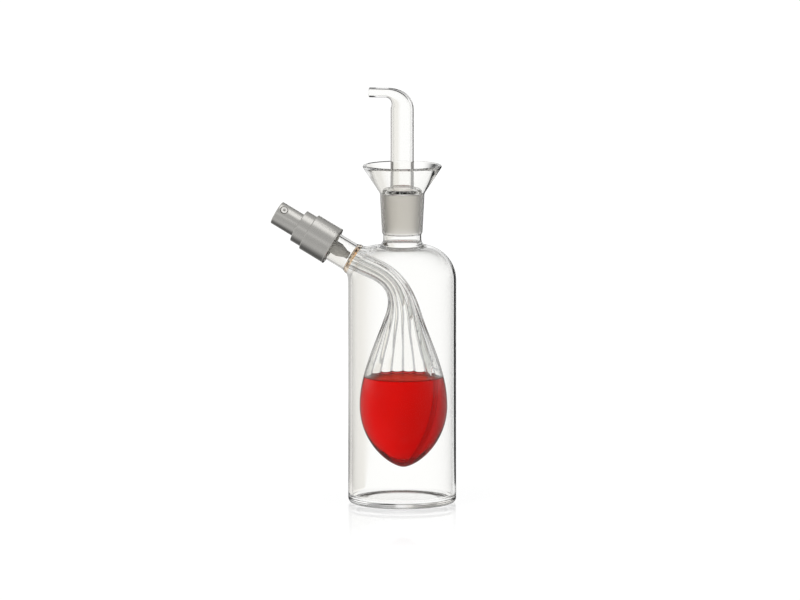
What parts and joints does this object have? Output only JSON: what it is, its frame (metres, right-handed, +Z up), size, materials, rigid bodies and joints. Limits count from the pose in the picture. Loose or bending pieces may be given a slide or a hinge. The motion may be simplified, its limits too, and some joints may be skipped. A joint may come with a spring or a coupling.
{
  "type": "oil and vinegar cruet",
  "caption": "Clear glass oil bottle with a funnel and bent-spout stopper, holding a ribbed teardrop vinegar vessel whose tilted side neck carries a fine-mist pump.",
  "frame": {"origin": "centre of the flat base, on the table and on the oil bottle's axis", "axes": "+Z up along the bottle, -X towards the side neck and the spout, Y across"},
  "size_m": [0.1129, 0.065, 0.251],
  "materials": {
    "clear_glass": "clear polished borosilicate, ground inside the socket",
    "ribbed_glass": "clear polished borosilicate with blown ribs",
    "stopper_glass": "clear polished borosilicate with a ground cone",
    "vinegar": "clear red liquid",
    "satin_aluminium": "satin, lightly brushed around",
    "grey_plastic": "moulded",
    "white_plastic": "moulded",
    "clear_plastic": "translucent extruded tube",
    "steel": "bright drawn"
  },
  "bodies": {
    "bottle": {"outer_bottle": "clear_glass", "inner_vessel": "ribbed_glass", "vinegar": "vinegar"},
    "stopper": {"pour_stopper": "stopper_glass"},
    "sprayer": {"pump_housing": "grey_plastic", "neck_gasket": "white_plastic", "retainer": "white_plastic", "check_ball": "steel", "dip_tube": "clear_plastic", "return_spring": "steel"},
    "collar": {"closure": "white_plastic", "closure_shell": "satin_aluminium"},
    "button": {"actuator": "white_plastic", "actuator_shell": "satin_aluminium", "nozzle_insert": "satin_aluminium", "stem": "white_plastic", "piston": "grey_plastic"}
  },
  "joints": [
    {"name": "stopper_lift", "type": "slide", "parent": "bottle", "child": "stopper", "axis": [0, 0, 1], "range_m": [0, 0.045]},
    {"name": "sprayer_lift", "type": "slide", "parent": "bottle", "child": "sprayer", "axis": [-0.866, 0, 0.5], "range_m": [0, 0.0048], "deforming": ["dip_tube"]},
    {"name": "collar_turn", "type": "hinge", "parent": "sprayer", "child": "collar", "pos_m": [-0.05318, 0, 0.16071], "axis": [-0.866, 0, 0.5], "range_deg": [0, 540]},
    {"name": "button_press", "type": "slide", "parent": "sprayer", "child": "button", "axis": [0.866, 0, -0.5], "range_m": [0, 0.0045], "stiffness_N_per_m": 1200, "springref_m": -0.003, "deforming": ["return_spring"]}
  ],
  "couplings": [
    {"joint": "sprayer_lift", "follows": "collar_turn", "m_per_rad": 0.00050532}
  ]
}
